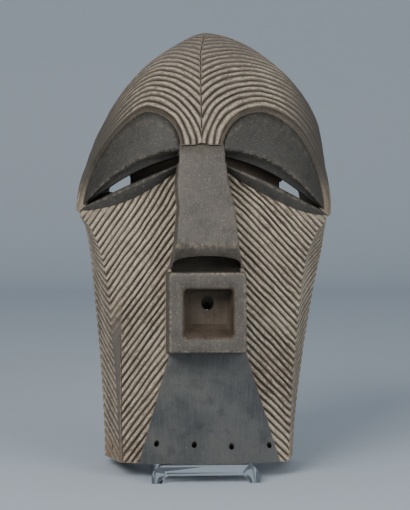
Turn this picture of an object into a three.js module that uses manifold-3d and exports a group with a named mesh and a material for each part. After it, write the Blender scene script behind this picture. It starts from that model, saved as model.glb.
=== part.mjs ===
// A carved wooden face mask with striated planes, upright on the clear stand that holds it.
// Millimetres, +Z up. The face looks along -Y, and the origin is under the middle of the object's box.
//
// The mask is one piece of wood: a domed forehead over two heavy eyelids, a flat wedge of a nose, a square
// mouth standing proud of the face, a smooth chin panel, and cheeks and sides that meet in a ridge. It is
// hollow, open at the back and below, with slit eyes, a bored mouth and cord holes round the chin.
// The mask is worked out in a frame of its own: x across, d forward from the flat back rim, z up the face.
import * as THREE from "three";
import { mergeVertices } from "three/addons/utils/BufferGeometryUtils.js";
import Module from "manifold-3d";

const wasm = await Module();
wasm.setup();

// Driving sizes of the mask
const maskHeight = 380; // chin edge to crown, along the face
const maskWidth = 226; // across the temples
const faceDepth = 133; // back rim to the front of the dome
const noseDepth = 149; // back rim to the tip of the nose
const mouthDepth = 150; // back rim to the front of the mouth
const faceWall = 16; // wood behind the carved front
const chinWall = 12.8; // wood behind the chin edge
const sideWall = 21; // wood at the back rim
const lidStep = 4; // how far the eyelids lie under the forehead
const panelRise = 0.7; // how far the chin panel stands over the cheeks
const grooveDepth = 1.8;
const browPitch = 5.6; // from crest to crest of the forehead, beside the brows
const crownPitch = 4.8; // the same over the crown
const cheekRise = { right: 6.8, left: 7.7 }; // from crest to crest straight up a cheek
const cheekSlant = { right: THREE.MathUtils.degToRad(45), left: THREE.MathUtils.degToRad(54) };
const sideSlant = THREE.MathUtils.degToRad(18);
const cordHoleRadius = 2.3;
const cordHoles = [[-42, 17.5], [-10, 17], [22, 15], [55.5, 14.8]]; // x and height, drilled by eye
const sideHoleHeight = 10.5;
const mouthHoleRadius = 5.3;
const boreSlant = THREE.MathUtils.degToRad(28); // the bores fall on their way in
const lean = THREE.MathUtils.degToRad(6); // how far the mask leans back on its stand

// Driving sizes of the stand
const standWidth = 93;
const standHeight = 15.4; // front edge of the slab's top over the table
const standReach = 108; // length of the slab from front to back
const sheet = 9; // thickness of the bent slab
const shoulder = 11; // outer radius of its bends
const innerBend = 7; // inner radius of its bends
const postWidth = 46;
const postSheet = 5;
const postHeight = 105; // length of the post over the slab
const toe = 1.2; // how far the slab stands out in front of the chin
const touch = 0.3; // clearance between pieces that touch

// Shares of the face's height H, half width W and depth D place its forms
const crownShare = 1.011;
const H = maskHeight / crownShare;
const W = maskWidth / 2;
const D = faceDepth;
const spring = 0.588 * H; // where the dome's arch springs from
const domeEdge = 0.414 * D; // depth of the dome's widest outline
const eyeCorner = { x: 0.956 * W, z: 0.59 * H };
const chinDepth = 0.759 * D;
const plainStrip = { x: 0.648 * W, top: 0.37 * H }; // a smooth strip from here out to the lower left ridge

const at = (x, d, z) => new THREE.Vector3(x, -d, z);
const mirror = (v) => new THREE.Vector3(-v.x, v.y, v.z);
const mix = THREE.MathUtils.lerp;
const evenly = (count) => Array.from({ length: count + 1 }, (_, i) => i / count);

// A smooth function of height through a few [height share, value] points
function profile(points) {
  const curve = new THREE.SplineCurve(points.map(([z, v]) => new THREE.Vector2(z, v)));
  const table = curve.getPoints(80);
  return (z) => {
    const share = THREE.MathUtils.clamp(z / H, points[0][0], points.at(-1)[0]);
    const i = Math.max(1, table.findIndex((p) => p.x >= share - 1e-9));
    const [a, b] = [table[i - 1], table[i]];
    return mix(a.y, b.y, (share - a.x) / (b.x - a.x));
  };
}

// Solids
function solidOf(geometry) {
  const bare = geometry.clone();
  bare.deleteAttribute("normal");
  bare.deleteAttribute("uv");
  const merged = mergeVertices(bare, 1e-4);
  const index = merged.index.array;
  const triangles = [];
  for (let i = 0; i < index.length; i += 3) {
    const [a, b, c] = [index[i], index[i + 1], index[i + 2]];
    if (a !== b && b !== c && c !== a) triangles.push(a, b, c);
  }
  const mesh = new wasm.Mesh({
    numProp: 3,
    vertProperties: new Float32Array(merged.attributes.position.array),
    triVerts: new Uint32Array(triangles),
  });
  return new wasm.Manifold(mesh);
}

// The triangles of the largest body, without the crumbs that crossing cuts can leave loose
function largestBody(triangles, vertexCount) {
  const parent = Array.from({ length: vertexCount }, (_, i) => i);
  const root = (i) => {
    while (parent[i] !== i) i = parent[i] = parent[parent[i]];
    return i;
  };
  for (let i = 0; i < triangles.length; i += 3) {
    parent[root(triangles[i])] = root(triangles[i + 1]);
    parent[root(triangles[i])] = root(triangles[i + 2]);
  }
  const sizes = new Map();
  for (const i of triangles) sizes.set(root(i), (sizes.get(root(i)) ?? 0) + 1);
  const largest = [...sizes].sort((a, b) => b[1] - a[1])[0][0];
  return triangles.filter((i) => root(i) === largest);
}

function geometryOf(solid) {
  const mesh = solid.getMesh();
  const geometry = new THREE.BufferGeometry();
  const positions = new Float32Array(mesh.vertProperties);
  geometry.setAttribute("position", new THREE.BufferAttribute(positions, 3));
  geometry.setIndex(largestBody([...mesh.triVerts], positions.length / 3));
  geometry.computeVertexNormals();
  return geometry;
}

const joined = (solids) => solids.reduce((a, b) => a.add(b));

// A skin over a row of rings, which all have the same number of points, closed by a fan at each end
function loft(rings) {
  const n = rings[0].length;
  const points = rings.flat();
  const index = [];
  for (let i = 0; i + 1 < rings.length; i++) {
    for (let j = 0; j < n; j++) {
      const k = (j + 1) % n;
      const [a, b, c, d] = [i * n + j, i * n + k, (i + 1) * n + k, (i + 1) * n + j];
      index.push(a, b, c, a, c, d);
    }
  }
  const last = (rings.length - 1) * n;
  for (let j = 1; j + 1 < n; j++) {
    index.push(0, j + 1, j, last, last + j, last + j + 1);
  }
  let volume = 0;
  for (let i = 0; i < index.length; i += 3) {
    const [a, b, c] = [points[index[i]], points[index[i + 1]], points[index[i + 2]]];
    volume += a.dot(new THREE.Vector3().crossVectors(b, c));
  }
  if (volume < 0) index.reverse();
  const geometry = new THREE.BufferGeometry().setFromPoints(points);
  geometry.setIndex(index);
  return solidOf(geometry);
}

// A thick sheet under a grid of surface points, each with its outward normal and its own lowering
function sheetUnder(rows, thickness) {
  const pushed = ({ point, normal }, by) => point.clone().addScaledVector(normal, -by);
  return loft(
    rows.map((row) => [
      ...row.map((spot) => pushed(spot, spot.lowered)),
      ...row.map((spot) => pushed(spot, thickness)).reverse(),
    ]),
  );
}

// The normal of a surface at a, b, from its slopes, turned to look away from a point inside
function normalOf(surface, a, b, step, inside) {
  const alongA = surface(a + step, b).sub(surface(a - step, b));
  const alongB = surface(a, b + step).sub(surface(a, b - step));
  const normal = alongA.normalize().cross(alongB.normalize()).normalize();
  return normal.dot(surface(a, b).sub(inside)) < 0 ? normal.negate() : normal;
}

// A flat outline in x and z, drawn through the depth of the mask
function throughFace(outline, from = -20, to = 220) {
  const shape = new THREE.Shape(outline.map(([x, z]) => new THREE.Vector2(x, z)));
  const geometry = new THREE.ExtrudeGeometry(shape, { depth: to - from, bevelEnabled: false });
  geometry.translate(0, 0, from);
  geometry.rotateX(Math.PI / 2);
  return solidOf(geometry);
}

function rod(radius, from, to, sides) {
  const along = new THREE.Vector3().subVectors(to, from);
  const geometry = new THREE.CylinderGeometry(radius, radius, along.length(), sides);
  const upright = new THREE.Vector3(0, 1, 0);
  geometry.applyQuaternion(new THREE.Quaternion().setFromUnitVectors(upright, along.clone().normalize()));
  geometry.translate(...from.clone().add(to).multiplyScalar(0.5));
  return solidOf(geometry);
}

// The half of the space on one side of the middle, with a hair of overlap, in front of the back rim
function halfSpace(side) {
  const geometry = new THREE.BoxGeometry(300, 300, 600);
  geometry.translate(side * (150 - 0.2), -150, 200);
  return solidOf(geometry);
}

// The dome: an egg over a pointed outline. turn goes round the outline from the right temple over the
// crown, and swing goes from the front of the dome, past its widest outline, to the flat back rim.
const rimSwing = THREE.MathUtils.degToRad(108);
function domeReach(turn) {
  const climb = Math.asin(Math.abs(Math.sin(turn))) / (Math.PI / 2);
  if (Math.sin(turn) <= 0) return W;
  return W + (maskHeight - spring - W) * Math.max(0, (climb - 0.22) / 0.78) ** 1.25;
}
function domePoint(turn, swing, inset = 0) {
  const reach = (domeReach(turn) - inset) * Math.sin(swing);
  const front = D - domeEdge - inset;
  const back = domeEdge / -Math.cos(rimSwing);
  const d = domeEdge + Math.cos(swing) * (swing < Math.PI / 2 ? front : back);
  return at(reach * Math.cos(turn), d, spring + reach * Math.sin(turn));
}
function domeSolid(inset, turns, past = 0, aside = 0) {
  const swings = [12, 30, 45, 58, 69, 80, 90, 100, 108].map(THREE.MathUtils.degToRad);
  if (past) swings.push(rimSwing + past);
  const spot = (share, swing) => domePoint(2 * Math.PI * share, swing, inset).add(at(aside, 0, 0));
  return loft(swings.map((swing) => evenly(turns).slice(1).map((share) => spot(share, swing))));
}
// Depth of the dome over a point of the front view
function domeDepth(x, z, inset = 0) {
  const turn = Math.atan2(z - spring, x);
  const reach = Math.hypot(x, z - spring) / (domeReach(turn) - inset);
  return domeEdge + (D - domeEdge - inset) * Math.sqrt(Math.max(0, 1 - reach * reach));
}

// The lower face: at each height a rim point, a ridge point and a bowed cheek that runs to the middle
const rimX = (z) => {
  const top = 0.577 * H;
  const [foot, temple] = [0.76 * W, 0.985 * W];
  if (z < top) return mix(foot, temple, (Math.max(z, 0) / top) ** 1.5);
  return mix(temple, 0.8 * W, (z - top) / (0.15 * H));
};
const ridgeAcross = profile([
  [0, 0.652],
  [0.17, 0.677],
  [0.29, 0.708],
  [0.4, 0.742],
  [0.48, 0.792],
  [0.54, 0.868],
  [0.59, eyeCorner.x / W],
  [0.72, 0.79],
]);
const ridgeX = (z) => W * ridgeAcross(z);
const ridgeShares = [[0, 0.556], [0.17, 0.59], [0.37, 0.665], [0.51, 0.645], [0.59, 0.575], [0.74, 0.45]];
const middleShares = [[0, chinDepth / D], [0.25, 0.885], [0.48, 0.9], [0.74, 0.86]];
const ridgeShare = profile(ridgeShares);
const middleShare = profile(middleShares);
const ridgeDepth = (z) => D * ridgeShare(z);
const middleDepth = (z) => D * middleShare(z);
const cheekBow = 1.6;
function cheekDepth(x, z) {
  const across = Math.min(1, Math.abs(x) / ridgeX(z));
  return mix(middleDepth(z), ridgeDepth(z), across ** cheekBow);
}
const faceTop = 0.715 * H;
function lowerFace(rise, shrink, heights) {
  const across = [1, 0.82, 0.62, 0.4, 0.2, 0.04];
  const ring = (share) => {
    const z = faceTop * share - 0.02 * H * (1 - share);
    const ridge = ridgeX(z) - shrink;
    const cheek = across.map((s) => at(s * ridge, cheekDepth(s * ridgeX(z), z) + rise, z));
    const half = [at(rimX(z) - shrink, 0, z), ...cheek];
    return [...half, ...half.map(mirror).reverse()];
  };
  return loft(evenly(heights).map(ring));
}

// Lines of the eye in the front view, from the nose to the outer corner
const line = (...points) =>
  new THREE.QuadraticBezierCurve(...points.map(([x, z]) => new THREE.Vector2(x * W, z * H)));
const lidEdge = line([0.18, 0.711], [0.57, 0.708], [0.95, 0.591]);
const slitTop = line([0.17, 0.701], [0.57, 0.674], [0.92, 0.596]);
const slitOpen = { right: 0.6 * W, left: 0.55 * W }; // from here outward a slit runs through to the hollow
const slitFloor = 7; // wood behind its blind inner part
const slitBottom = line([0.17, 0.682], [0.56, 0.641], [0.915, 0.594]);
const lowerLidEdge = line([0.17, 0.67], [0.58, 0.58], [0.958, 0.584]);
const eyeSteps = 10;

// The brow: a round inner quarter and a flatter outer quarter, from the nose's root to the temple, drawn
// on straight down past either end
const brow = {
  apex: [0.442 * W, 0.811 * H],
  inner: [0.155 * W, 0.723 * H],
  outer: [0.965 * W, 0.59 * H],
};
function browPoint(share) {
  if (share < 0) return [brow.inner[0], brow.inner[1] + 100 * share];
  if (share > 1) return [brow.outer[0], brow.outer[1] - 100 * (share - 1)];
  const [end, power] = share < 0.5 ? [brow.inner, 2] : [brow.outer, 1.6];
  const angle = Math.abs(share - 0.5) * Math.PI;
  const x = mix(brow.apex[0], end[0], Math.sin(angle) ** (2 / power));
  const z = mix(end[1], brow.apex[1], Math.max(0, Math.cos(angle)) ** (2 / power));
  return [x, z];
}

// Everything above a line that runs from temple to temple, given from the middle out to each side
function above(rightLine, leftLine = rightLine) {
  const far = 1.3 * W;
  const [right, left] = [rightLine, leftLine].map((half) => [...half, [far, half.at(-1)[1]], [far, 1.2 * H]]);
  return throughFace([...right, ...left.map(([x, z]) => [-x, z]).reverse()]);
}
const pairs = (curve) => curve.getPoints(eyeSteps).map((p) => [p.x, p.y]);

// Forehead crests run over the dome beside the brow, each a pitch further from it than the last. A row
// starts a pitch inside the brow, leaves square to it and is stepped off at equal distances over the dome.
function domeDirection([x, z]) {
  const turn = Math.atan2(z - spring, x);
  const reach = Math.min(0.9999, Math.hypot(x, z - spring) / domeReach(turn));
  const swing = Math.asin(reach);
  const round = Math.sin(swing);
  return new THREE.Vector3(round * Math.cos(turn), Math.cos(swing), round * Math.sin(turn));
}
const narrowing = 24; // crests over which the pitch narrows from the brow's to the crown's
function crestTravel(crest) {
  const narrowed = Math.min(crest, narrowing);
  return crownPitch * crest + (browPitch - crownPitch) * (narrowed - narrowed ** 2 / (2 * narrowing));
}
function domeRow(share, count) {
  const here = domeDirection(browPoint(share));
  const along = domeDirection(browPoint(share + 0.004)).sub(domeDirection(browPoint(share - 0.004)));
  const away = new THREE.Vector3().crossVectors(here, along).normalize();
  const eye = domeDirection([brow.apex[0], brow.outer[1] + 0.1 * H]);
  if (away.dot(here.clone().sub(eye)) < 0) away.negate();
  const row = [];
  let travelled = 0;
  let last = null;
  const startAngle = -browPitch / (0.9 * D);
  for (let angle = startAngle; row.length < count && angle < 2.6; angle += 0.003) {
    const direction = here.clone().multiplyScalar(Math.cos(angle)).addScaledVector(away, Math.sin(angle));
    const turn = Math.atan2(direction.z, direction.x);
    const swing = Math.acos(THREE.MathUtils.clamp(direction.y, -1, 1));
    const point = domePoint(turn, swing);
    if (last) travelled += point.distanceTo(last);
    last = point;
    if (travelled < crestTravel(row.length / 2)) continue;
    const normal = normalOf(domePoint, turn, swing, 0.01, at(0, 0, spring));
    row.push({ point, normal, lowered: row.length % 2 ? grooveDepth : 0 });
  }
  return row;
}
function foreheadHalf(side) {
  const shares = [-0.03, 0.13, 0.26, 0.36, 0.43, 0.5, 0.58, 0.68, 0.8, 0.92, 1.05];
  const halfPitches = 74;
  const rows = shares.map((share) => domeRow(share, halfPitches));
  const rings = evenly(halfPitches - 1).map((_, k) => rows.map((row) => row[k]));
  const flip = ({ point, normal, lowered }) => ({ point: mirror(point), normal: mirror(normal), lowered });
  const solid = sheetUnder(side > 0 ? rings : rings.map((ring) => ring.map(flip)), lidStep + 4);
  return solid.intersect(halfSpace(side));
}
function forehead() {
  const browLine = evenly(22).map(browPoint);
  return foreheadHalf(1).add(foreheadHalf(-1)).intersect(above(browLine));
}

// Crests of the lower face climb from the ridge, back over the side and inward over the cheek. The two
// cheeks were cut at different slants, and the lower left ridge has a smooth strip beside it.

// The height on the ridge where a crest starts that climbs at this slant to that height in the middle
function ridgeStart(middleHeight, slant) {
  let [low, high] = [-H, H];
  while (high - low > 0.001) {
    const z = (low + high) / 2;
    if (z + ridgeX(z) * Math.tan(slant) < middleHeight) low = z;
    else high = z;
  }
  return low;
}
function lowerHalf(side) {
  const key = side > 0 ? "right" : "left";
  const [slant, rise] = [cheekSlant[key], cheekRise[key]];
  const cheekSurface = (x, z) => at(side * x, cheekDepth(x, z), z);
  const sideSurface = (share, z) =>
    at(side * mix(ridgeX(z), rimX(z), share), ridgeDepth(z) * (1 - share), z);
  const inside = at(0, 0, 0.4 * H);
  const crests = Math.floor((eyeCorner.z + eyeCorner.x * Math.tan(slant)) / rise);
  const rings = [];
  for (let step = -2; step <= 2 * crests; step++) {
    const ridgeZ = ridgeStart((step * rise) / 2, slant);
    const depth = step % 2 ? grooveDepth : 0;
    const smooth = side < 0 && ridgeZ < plainStrip.top;
    const sideSpots = [1.03, 0.5].map((share) => {
      const z = ridgeZ + share * ridgeDepth(ridgeZ) * Math.tan(sideSlant);
      return { point: sideSurface(share, z), normal: normalOf(sideSurface, share, z, 0.01, inside), lowered: depth };
    });
    const edge = ridgeX(ridgeZ);
    const strip = Math.min(0.2, 1 - plainStrip.x / edge);
    const shares = side < 0 ? [0.004, strip, strip + 0.03, 0.36, 0.68, 1.02] : [0.004, 0.25, 0.5, 0.75, 1.02];
    const cheekSpots = shares.map((share, i) => {
      const x = edge * (1 - share);
      const z = ridgeZ + edge * share * Math.tan(slant);
      const lowered = smooth && i < 2 ? 0 : depth;
      return { point: cheekSurface(x, z), normal: normalOf(cheekSurface, x, z, 0.5, inside), lowered };
    });
    const ridge = { ...cheekSpots[0] };
    ridge.point = cheekSurface(edge, ridgeZ);
    ridge.normal = ridge.normal.clone().add(sideSpots[1].normal).normalize();
    rings.push([...sideSpots, ridge, ...cheekSpots.slice(1)]);
  }
  const far = 1.2 * W;
  const beneath = [[0, -0.1 * H], [far, -0.1 * H], [far, eyeCorner.z], ...pairs(slitBottom).reverse()];
  beneath.push([0, beneath.at(-1)[1]]);
  const under = throughFace(beneath.map(([x, z]) => [side * x, z - 2]));
  return sheetUnder(rings, 9).intersect(halfSpace(side)).intersect(under);
}

// A body that runs along the eye: section gives its points in depth and height at each share of the way
function alongEye(section, side) {
  return loft(evenly(eyeSteps).map((share) => (side > 0 ? section(share) : section(share).map(mirror))));
}
function lidUnderside(side) {
  const undercut = 12;
  return alongEye((share) => {
    const edge = lidEdge.getPoint(share);
    const slit = slitTop.getPoint(share);
    const d = domeDepth(edge.x, edge.y, lidStep);
    const back = d - undercut * mix(1, 0.3, share ** 2);
    return [
      at(edge.x, d - 0.05, edge.y),
      at(slit.x, back, slit.y),
      at(slit.x, d - 30, slit.y),
      at(edge.x, d - 30, edge.y + 8),
      at(edge.x, d - 3, edge.y + 8),
    ];
  }, side);
}
function lowerLid(side) {
  const rise = 8;
  return alongEye((share) => {
    const slit = slitBottom.getPoint(share);
    const edge = lowerLidEdge.getPoint(share);
    const fade = mix(1, 0.25, share ** 3);
    const lip = slit.y - 0.25 * (slit.y - edge.y);
    const d = cheekDepth(slit.x, slit.y);
    return [
      at(slit.x, d + 0.7 * rise * fade, slit.y),
      at(slit.x, cheekDepth(slit.x, lip) + rise * fade, lip),
      at(edge.x, cheekDepth(edge.x, edge.y) + 0.4, edge.y),
      at(edge.x, d - 20, edge.y - 0.5),
      at(slit.x, d - 20, slit.y),
    ];
  }, side);
}
function eyeSlit(side) {
  const slot = alongEye((share) => {
    const [top, bottom] = [slitTop.getPoint(share), slitBottom.getPoint(share)];
    const floor = hollowDepth(top.x - side * hollowDrift, top.y) + slitFloor;
    return [
      at(top.x, floor, top.y),
      at(top.x, 1.2 * D, top.y),
      at(bottom.x, 1.2 * D, bottom.y),
      at(bottom.x, floor, bottom.y),
    ];
  }, side);
  const turned = (outline) => outline.map(([x, z]) => [side * x, z]);
  const open = side > 0 ? slitOpen.right : slitOpen.left;
  const outer = throughFace(turned([[open, 0], [1.2 * W, 0], [1.2 * W, H], [open, H]]));
  const whole = throughFace(turned([...pairs(slitTop), ...pairs(slitBottom).reverse()]), 0.35 * D);
  return slot.add(whole.intersect(outer));
}

// The nose: a flat-fronted wedge that widens and rises to its tip. Its end slopes back under the tip and is
// arched out below, over a recess that reaches down to the mouth.
const noseEnd = { z: 0.447 * H, half: 0.268 * W };
const recess = { half: 0.255 * W, top: 0.472 * H, sink: 7 };
function nose() {
  const rootZ = 0.707 * H;
  const tipZ = 0.495 * H;
  const endDepth = noseDepth - (tipZ - noseEnd.z);
  const rootDepth = domeDepth(0, rootZ) + 1.2;
  const base = 0.75 * D;
  const ring = (z, half, d, flare) => [
    at(half + flare, base, z),
    at(half, d, z),
    at(-half, d, z),
    at(-half - flare, base, z),
  ];
  return loft([
    ring(noseEnd.z, noseEnd.half, endDepth, 1),
    ring(tipZ, 0.232 * W, noseDepth, 3),
    ring(rootZ, 0.172 * W, rootDepth, 2),
    ring(rootZ + 0.014 * H, 0.17 * W, rootDepth - 5, 1),
  ]);
}
function underNose() {
  const arch = evenly(12).map((share) => {
    const turn = Math.PI * share;
    return [recess.half * Math.cos(turn), mix(noseEnd.z, recess.top, Math.sin(turn) ** 0.6)];
  });
  const low = mouth.top + 0.004 * H;
  return throughFace([[recess.half, low], ...arch, [-recess.half, low]], middleDepth(recess.top) - recess.sink);
}

// The mouth: a square block with a tapering square well, bored through
const mouth = { x: 0, half: 0.285 * W, bottom: 0.257 * H, top: 0.434 * H };
const well = { x: 0.006 * W, half: 0.181 * W, bottom: 0.291 * H, top: 0.397 * H };
const wellFloor = { x: 0.02 * W, half: 0.14 * W, bottom: 0.319 * H, top: 0.394 * H };
const wellDepth = 0.19 * D;
function block(back, backDepth, front, frontDepth) {
  const ring = (r, d) => [
    at(r.x + r.half, d, r.bottom),
    at(r.x + r.half, d, r.top),
    at(r.x - r.half, d, r.top),
    at(r.x - r.half, d, r.bottom),
  ];
  return loft([ring(back, backDepth), ring(front, frontDepth)]);
}
function mouthBlock() {
  const flare = 0.022 * W;
  const root = { x: mouth.x, half: mouth.half + flare, bottom: mouth.bottom - flare, top: mouth.top + flare };
  return block(root, 0.72 * D, mouth, mouthDepth);
}
function mouthWell() {
  const over = 1 / wellDepth;
  const grown = (key) => well[key] + over * (well[key] - wellFloor[key]);
  const lifted = { x: grown("x"), half: grown("half"), bottom: grown("bottom"), top: grown("top") };
  return block(wellFloor, mouthDepth - wellDepth, lifted, mouthDepth + 1);
}

// The smooth panels of the chin and of the lip between nose and mouth, wider at the foot than at the top
function panels() {
  const taper = ([left, right], foot, [topLeft, topRight], top) =>
    throughFace([[right, foot], [topRight, top], [topLeft, top], [left, foot]], 0.6 * D);
  const chin = taper([-0.514 * W, 0.59 * W], -0.01 * H, [-0.27 * W, 0.3 * W], mouth.bottom);
  const lip = taper([-0.275 * W, 0.275 * W], mouth.top - 2, [-0.24 * W, 0.24 * W], 0.475 * H);
  return lowerFace(panelRise, 0, 12).intersect(chin.add(lip));
}

// The hollow: the dome and the lower face again, smaller by the walls, and open at the back and below
const wallAt = (z) => mix(chinWall, faceWall, THREE.MathUtils.clamp(z / (0.35 * H), 0, 1));
const hollowDrift = 4; // the hollow was cut a little to one side
const hollowEdge = (z) => ridgeX(z) - 0.8 * sideWall;
const hollowDepth = (x, z) => cheekDepth((x / hollowEdge(z)) * ridgeX(z), z) - wallAt(z);
function hollow() {
  const across = [1, 0.7, 0.4, 0.12];
  const ring = (share) => {
    const z = mix(-0.03 * H, faceTop, share);
    const cheek = across.map((s) => at(s * hollowEdge(z), hollowDepth(s * hollowEdge(z), z), z));
    const half = [at(rimX(z) - sideWall, -5, z), ...cheek];
    return [...half, ...half.map(mirror).reverse()].map((v) => v.setX(v.x + hollowDrift));
  };
  const lower = loft(evenly(9).map(ring));
  const upper = domeSolid(1.2 * faceWall, 32, THREE.MathUtils.degToRad(5), hollowDrift);
  const overSlit = (open) =>
    slitTop.getPoints(4 * eyeSteps).map((p) => [p.x, p.y + (p.x < open ? slitFloor : -1)]);
  return lower.add(upper.intersect(above(overSlit(slitOpen.right), overSlit(slitOpen.left))));
}

// A bore that goes in at a point and falls on its way
function bore(radius, entry, reach, sides) {
  const inward = at(0, -Math.cos(boreSlant), -Math.sin(boreSlant));
  const outside = entry.clone().addScaledVector(inward, -1.5 * radius);
  return rod(radius, outside, entry.clone().addScaledVector(inward, reach), sides);
}
function chinBores() {
  const front = cordHoles.map(([x, z]) => bore(cordHoleRadius, at(x, cheekDepth(x, z), z), 2 * chinWall, 8));
  const [d, z] = [0.3 * D, sideHoleHeight];
  const side = (s) => rod(cordHoleRadius, at(s * W, d, z), at(s * (rimX(z) - 2 * sideWall), d, z), 8);
  return joined([...front, side(1), side(-1)]);
}
function mouthBore() {
  const entry = at(0.008 * W, mouthDepth - wellDepth, 0.368 * H);
  return bore(mouthHoleRadius, entry, 1.6 * wellDepth, 14);
}

function underBottom() {
  const geometry = new THREE.BoxGeometry(400, 500, 60);
  geometry.translate(0, 0, -30);
  return solidOf(geometry);
}

function maskSolid() {
  const sides = [1, -1];
  const dome = domeSolid(lidStep, 40).intersect(above(pairs(lidEdge)));
  const core = lowerFace(-lidStep, lidStep, 10);
  const forms = [nose(), mouthBlock(), panels(), ...sides.flatMap((s) => [lidUnderside(s), lowerLid(s)])];
  const whole = joined([dome, core, forehead(), ...sides.map(lowerHalf), ...forms]);
  const bores = [mouthBore(), chinBores()];
  const cuts = [hollow(), mouthWell(), underNose(), ...bores, underBottom(), ...sides.map(eyeSlit)];
  return whole.subtract(joined(cuts));
}

// The carver's eye: the mask drifts to one side, the crown and the brows more than the nose, and its
// right eye droops
const rimDrift = profile([[0, -2], [0.13, -0.7], [0.26, 1], [0.4, 3.1], [0.5, 5.1], [0.6, 4]]);
const domeDrift = profile([
  [0.56, 3.6],
  [0.64, 1.8],
  [0.74, 4.8],
  [0.8, 7.8],
  [0.88, 8.4],
  [0.94, 8.2],
  [0.985, 12.5],
  [1.02, 13],
]);
const seamDrift = profile([[0.56, -3.4], [0.9, -3.4], [0.96, -1.5], [1.01, 3.5]]);
const [cheekDrift, droop] = [0, 4.5];
const ease = THREE.MathUtils.smoothstep;
function settled({ x, y, z }) {
  const lower = mix(rimDrift(z), cheekDrift, ease(-y, 0, 0.53 * D));
  const climb = THREE.MathUtils.clamp((z - spring) / (maskHeight - spring), 0, 1);
  const half = W * Math.sqrt(1 - climb ** 1.2) + 0.015 * W;
  const upper = mix(seamDrift(z), domeDrift(z), Math.min(1, (x / half) ** 2));
  const aside = mix(lower, upper, ease(z, spring - 5, spring + 20));
  const down = droop * ease(x, 0.35 * W, 0.9 * W) * (1 - ease(Math.abs(z - eyeCorner.z), 0, 0.17 * H));
  return new THREE.Vector3(x + aside, y, z - down);
}
function settleGeometry(geometry) {
  const position = geometry.attributes.position;
  const spot = new THREE.Vector3();
  for (let i = 0; i < position.count; i++) {
    spot.copy(settled(spot.fromBufferAttribute(position, i)));
    position.setXYZ(i, spot.x, spot.y, spot.z);
  }
  geometry.computeVertexNormals();
  return geometry;
}

// The stand: a thick clear slab bent down at both sides and tipped back, so that its front stands on its
// edges and its back on the table, with a clear post on top that rises inside the hollow and bears on the
// inner face. It is drawn in the slab's own frame, with y back along its top and z square to it.
function slabSolid() {
  const half = standWidth / 2;
  const inner = innerBend;
  const shape = new THREE.Shape();
  shape.moveTo(-half, -3 * sheet);
  shape.lineTo(-half, -shoulder);
  shape.absarc(-half + shoulder, -shoulder, shoulder, Math.PI, Math.PI / 2, true);
  shape.absarc(half - shoulder, -shoulder, shoulder, Math.PI / 2, 0, true);
  shape.lineTo(half, -3 * sheet);
  shape.lineTo(half - sheet, -3 * sheet);
  shape.absarc(half - sheet - inner, -sheet - inner, inner, 0, Math.PI / 2, false);
  shape.absarc(-half + sheet + inner, -sheet - inner, inner, Math.PI / 2, Math.PI, false);
  shape.lineTo(-half + sheet, -3 * sheet);
  const geometry = new THREE.ExtrudeGeometry(shape, { depth: standReach, bevelEnabled: false, curveSegments: 6 });
  geometry.rotateX(Math.PI / 2);
  geometry.translate(0, standReach, 0);
  return solidOf(geometry);
}

// Where the hollow's front lies over the slab, as [y, z] in the slab's frame
const toeLine = chinDepth + toe;
const innerFace = (z) => toeLine - hollowDepth(postWidth / 2, z);
function postSolid() {
  const heel = innerFace(0) + 4;
  const top = innerFace(postHeight) + 3 * touch; // the face curves and drifts over the post's width
  const shape = new THREE.Shape();
  shape.moveTo(heel, -1);
  shape.lineTo(top, postHeight);
  shape.lineTo(top + postSheet, postHeight);
  shape.lineTo(heel + postSheet, -1);
  const geometry = new THREE.ExtrudeGeometry(shape, { depth: postWidth, bevelEnabled: false });
  geometry.rotateX(Math.PI / 2);
  geometry.rotateZ(Math.PI / 2);
  geometry.translate(hollowDrift - postWidth / 2, 0, 0);
  return solidOf(geometry);
}
function standSolid() {
  const table = new THREE.BoxGeometry(200, 400, 60);
  table.translate(0, 0, -30 - standHeight);
  table.rotateX(lean);
  return slabSolid().add(postSolid()).subtract(solidOf(table));
}

const wood = new THREE.MeshStandardMaterial({ name: "wood", color: 0x5a5045, roughness: 0.7, metalness: 0 });
const clear = new THREE.MeshStandardMaterial({
  name: "clear",
  color: 0xdfe8ec,
  roughness: 0.05,
  metalness: 0,
  transparent: true,
  opacity: 0.35,
});

const mask = new THREE.Mesh(settleGeometry(geometryOf(maskSolid())), wood);
mask.name = "mask";
mask.position.set(0, toeLine, touch);
const stand = new THREE.Mesh(geometryOf(standSolid()), clear);
stand.name = "stand";

// Both lean back together, and the whole is moved over its origin
const leaning = new THREE.Group();
leaning.add(mask, stand);
leaning.rotation.x = -lean;
const group = new THREE.Group();
group.add(leaning);
const box = new THREE.Box3().setFromObject(group, true);
const middle = box.getCenter(new THREE.Vector3());
leaning.position.set(-middle.x, -middle.y, -box.min.z);

export default group;
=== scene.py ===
"""Looks of a carved face mask with striated planes, upright on its clear stand.

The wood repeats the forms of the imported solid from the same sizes, but finer: the crests of the striations
are broad and waver a little, and their edges are shaded round. It is worked out in millimetres in a frame of
its own, with x across, d forward from the flat back rim and z up the face. place() turns that into metres in
the row frame.
"""

import math

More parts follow.
